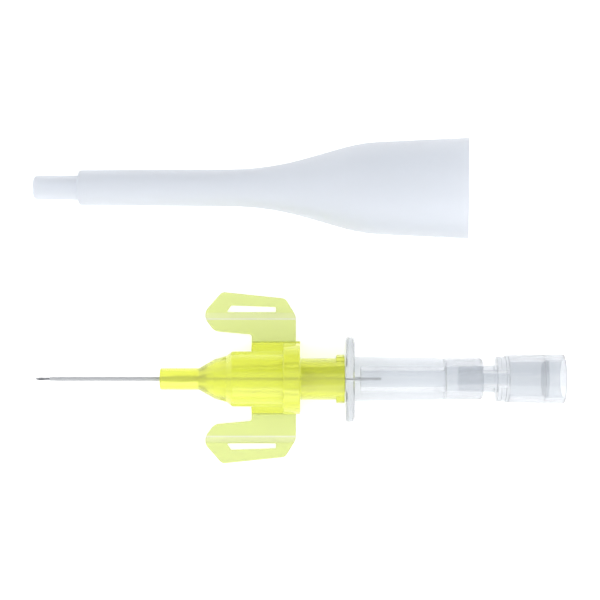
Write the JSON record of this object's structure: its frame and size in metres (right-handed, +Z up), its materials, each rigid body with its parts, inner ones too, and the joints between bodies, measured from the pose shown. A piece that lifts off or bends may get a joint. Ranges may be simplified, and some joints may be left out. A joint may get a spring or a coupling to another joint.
{
  "type": "iv cannula",
  "caption": "Winged peripheral cannula with its needle unit in place: catheter over a needle, hub with fold-up wings, clear flash chamber and vent plug, and its sheath beside it.",
  "frame": {"origin": "under the middle of the whole set, on the surface that it lies on", "axes": "+X along the cannula from the needle's point to the vent plug, +Z up, +Y to the side where the cap lies"},
  "size_m": [0.0851, 0.052, 0.0165],
  "materials": {
    "catheter": "extruded translucent fluoropolymer",
    "steel": "drawn and ground stainless steel",
    "yellow_hub": "translucent yellow moulded polypropylene",
    "yellow_wing": "translucent yellow moulded polypropylene, thin",
    "adhesive": "clear cured adhesive",
    "clear": "clear moulded plastic",
    "filter": "porous white plastic",
    "frosted": "natural frosted moulded polypropylene"
  },
  "bodies": {
    "cannula": {"cannula_hub": "yellow_hub", "catheter_tube": "catheter", "catheter_ferrule": "steel", "protective_cap": "frosted"},
    "left_wing_body": {"left_wing": "yellow_wing"},
    "right_wing_body": {"right_wing": "yellow_wing"},
    "needle_unit": {"needle_tube": "steel", "needle_bond": "adhesive", "needle_hub": "clear"},
    "plug": {"vent_plug": "clear", "vent_filter": "filter"}
  },
  "joints": [
    {"name": "left_wing_fold", "type": "hinge", "parent": "cannula", "child": "left_wing_body", "pos_m": [-0.00395, -0.00605, 0.0003], "axis": [1, 0, 0], "range_deg": [0, 90]},
    {"name": "right_wing_fold", "type": "hinge", "parent": "cannula", "child": "right_wing_body", "pos_m": [-0.00395, -0.01817, 0.0003], "axis": [-1, 0, 0], "range_deg": [0, 90]},
    {"name": "needle_withdrawal", "type": "slide", "parent": "cannula", "child": "needle_unit", "axis": [1, 0, 0], "range_m": [0, 0.051]},
    {"name": "plug_removal", "type": "slide", "parent": "needle_unit", "child": "plug", "axis": [1, 0, 0], "range_m": [0, 0.008]}
  ]
}
